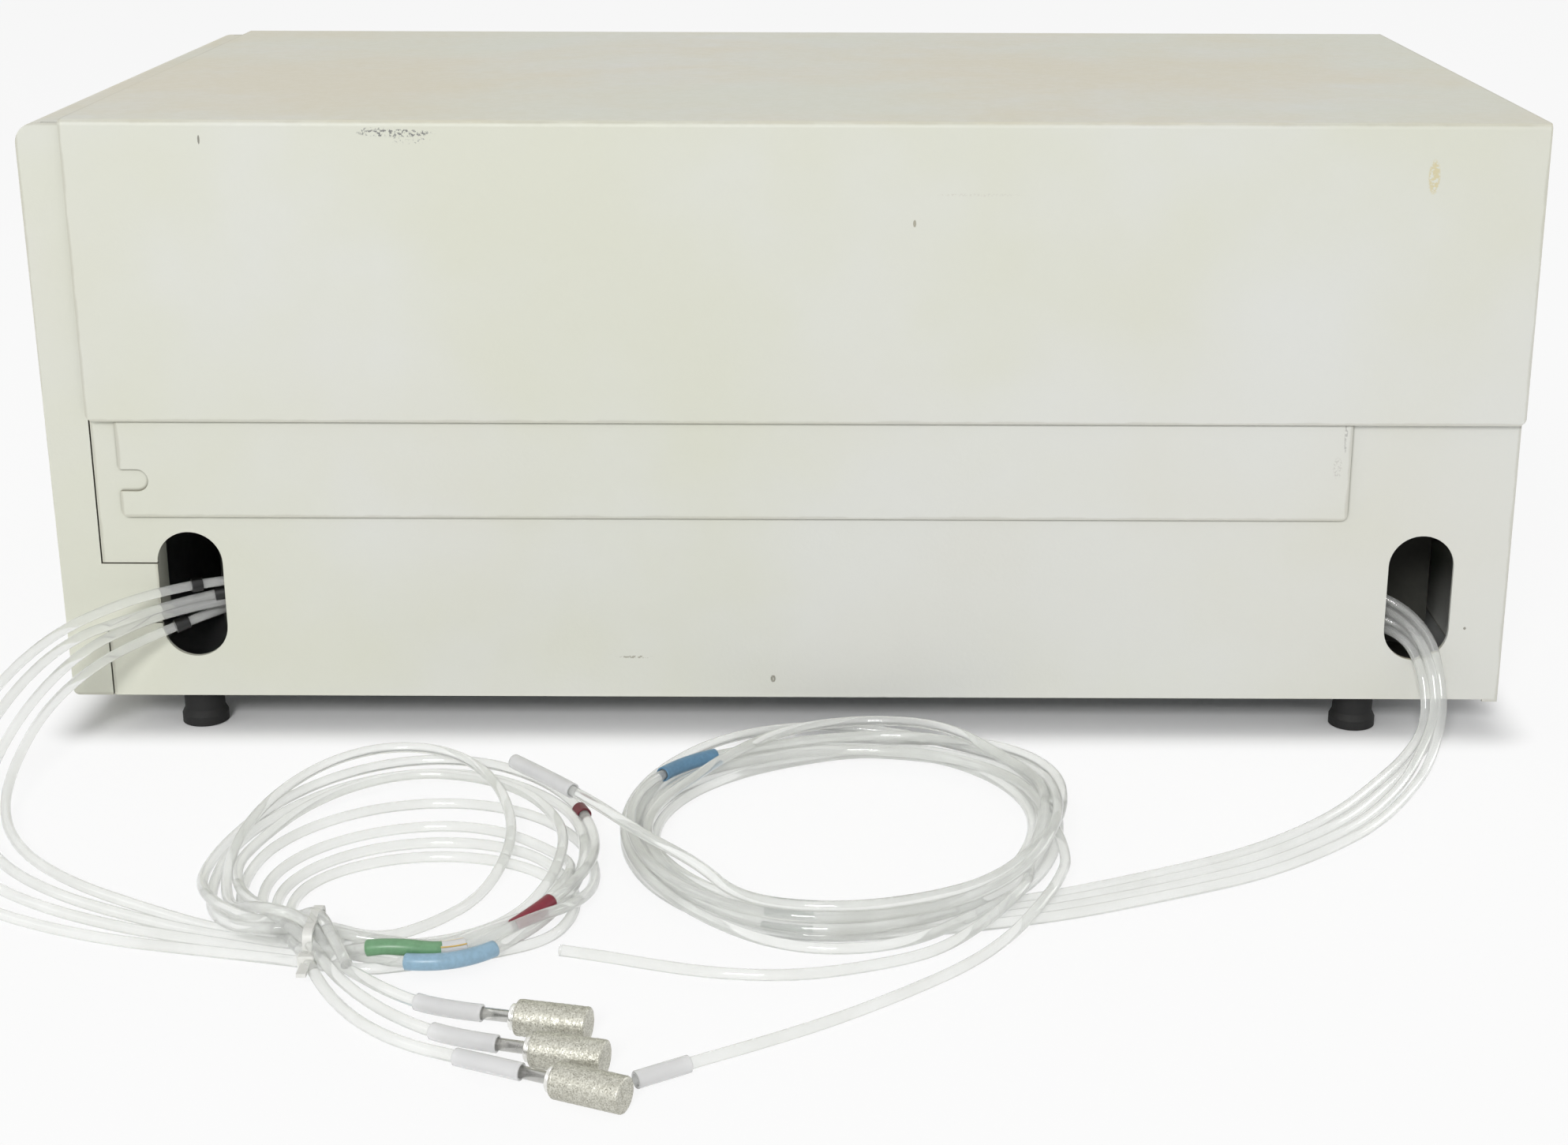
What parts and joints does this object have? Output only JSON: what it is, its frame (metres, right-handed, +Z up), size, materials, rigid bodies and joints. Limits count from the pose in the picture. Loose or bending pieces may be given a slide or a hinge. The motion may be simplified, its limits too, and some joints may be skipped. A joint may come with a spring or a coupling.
{
  "type": "liquid chromatography solvent module",
  "caption": "Bench liquid-chromatography solvent module: folded sheet case with side tube slots, loose coils of clear line and sintered inlet filters.",
  "frame": {"origin": "middle of the case footprint, on the surface that the feet stand on", "axes": "+X to the rear, front bezel at -X; tube slots at -Y; +Z up"},
  "size_m": [0.4955, 0.5043, 0.2025],
  "materials": {
    "case_paint": "light orange-peel powder paint, warm white",
    "cover_paint": "light orange-peel powder paint, warm white",
    "bezel_paint": "satin paint, warm white",
    "zinc_sheet": "zinc-plated sheet",
    "black_sheet": "matt black",
    "screw_steel": "plated steel",
    "foot_rubber": "matt black rubber",
    "black_plastic": "moulded, fine texture",
    "chamber_plastic": "moulded, dark grey",
    "clear_tube": "milky translucent",
    "clear_sleeve": "translucent",
    "hose_rubber": "smooth",
    "pump_plastic": "moulded grey",
    "motor_steel": "drawn can",
    "board_green": "lacquered board",
    "chip_black": "moulded",
    "brass_post": "plated brass",
    "supply_can": "plain sheet",
    "fuse_glass": "clear tube",
    "rocker_plastic": "glossy black",
    "lamp_lens": "tinted lens",
    "sintered_steel": "sintered, grainy",
    "tie_nylon": "natural nylon"
  },
  "bodies": {
    "case": {"base_tray": "zinc_sheet", "near_side_panel": "case_paint", "far_side_panel": "case_paint", "near_guide_plate": "case_paint", "far_guide_plate": "case_paint", "front_wall": "zinc_sheet", "rear_wall": "case_paint", "front_bezel": "bezel_paint", "cover_screws": "screw_steel", "bezel_nuts": "screw_steel", "status_lamps": "lamp_lens", "foot_1": "foot_rubber", "foot_2": "foot_rubber", "foot_3": "foot_rubber", "foot_4": "foot_rubber", "foot_screws": "screw_steel", "tube_channel": "black_sheet", "inlet_unions": "black_plastic", "outlet_unions": "black_plastic", "chamber_cradle": "zinc_sheet", "degassing_chamber_1": "chamber_plastic", "degassing_chamber_2": "chamber_plastic", "degassing_chamber_3": "chamber_plastic", "degassing_chamber_4": "chamber_plastic", "inner_lines": "clear_tube", "vacuum_rail": "hose_rubber", "vacuum_hose": "hose_rubber", "pump_bracket": "zinc_sheet", "pump_head": "pump_plastic", "pump_motor": "motor_steel", "control_board": "board_green", "board_parts": "chip_black", "board_standoffs": "brass_post", "power_supply": "supply_can", "power_inlet": "black_plastic", "inlet_blades": "brass_post", "exhaust_port": "screw_steel", "inlet_coil": "clear_tube", "outlet_coil": "clear_tube", "inlet_filter_1": "sintered_steel", "inlet_filter_2": "sintered_steel", "inlet_filter_3": "sintered_steel", "stem_sleeves": "clear_sleeve", "end_sleeves": "clear_sleeve", "cable_tie": "tie_nylon", "inner_wires": "hose_rubber", "inlet_line_1": "clear_tube", "inlet_line_2": "clear_tube", "inlet_line_3": "clear_tube", "inlet_line_4": "clear_tube", "outlet_line_1": "clear_tube", "outlet_line_2": "clear_tube", "outlet_line_3": "clear_tube", "outlet_line_4": "clear_tube"},
    "cover": {"top_cover": "cover_paint"},
    "fuse_tray": {"fuse_drawer": "black_plastic", "fuses": "fuse_glass"},
    "switch_rocker": {"power_rocker": "rocker_plastic"}
  },
  "joints": [
    {"name": "cover_lift", "type": "slide", "parent": "case", "child": "cover", "axis": [0, 0, 1], "range_m": [0, 0.11]},
    {"name": "fuse_drawer_slide", "type": "slide", "parent": "case", "child": "fuse_tray", "axis": [1, 0, 0], "range_m": [0, 0.016]},
    {"name": "rocker_tilt", "type": "hinge", "parent": "case", "child": "switch_rocker", "pos_m": [0.23135, 0.084, 0.097], "axis": [0, 1, 0], "range_deg": [-16, 0]}
  ]
}
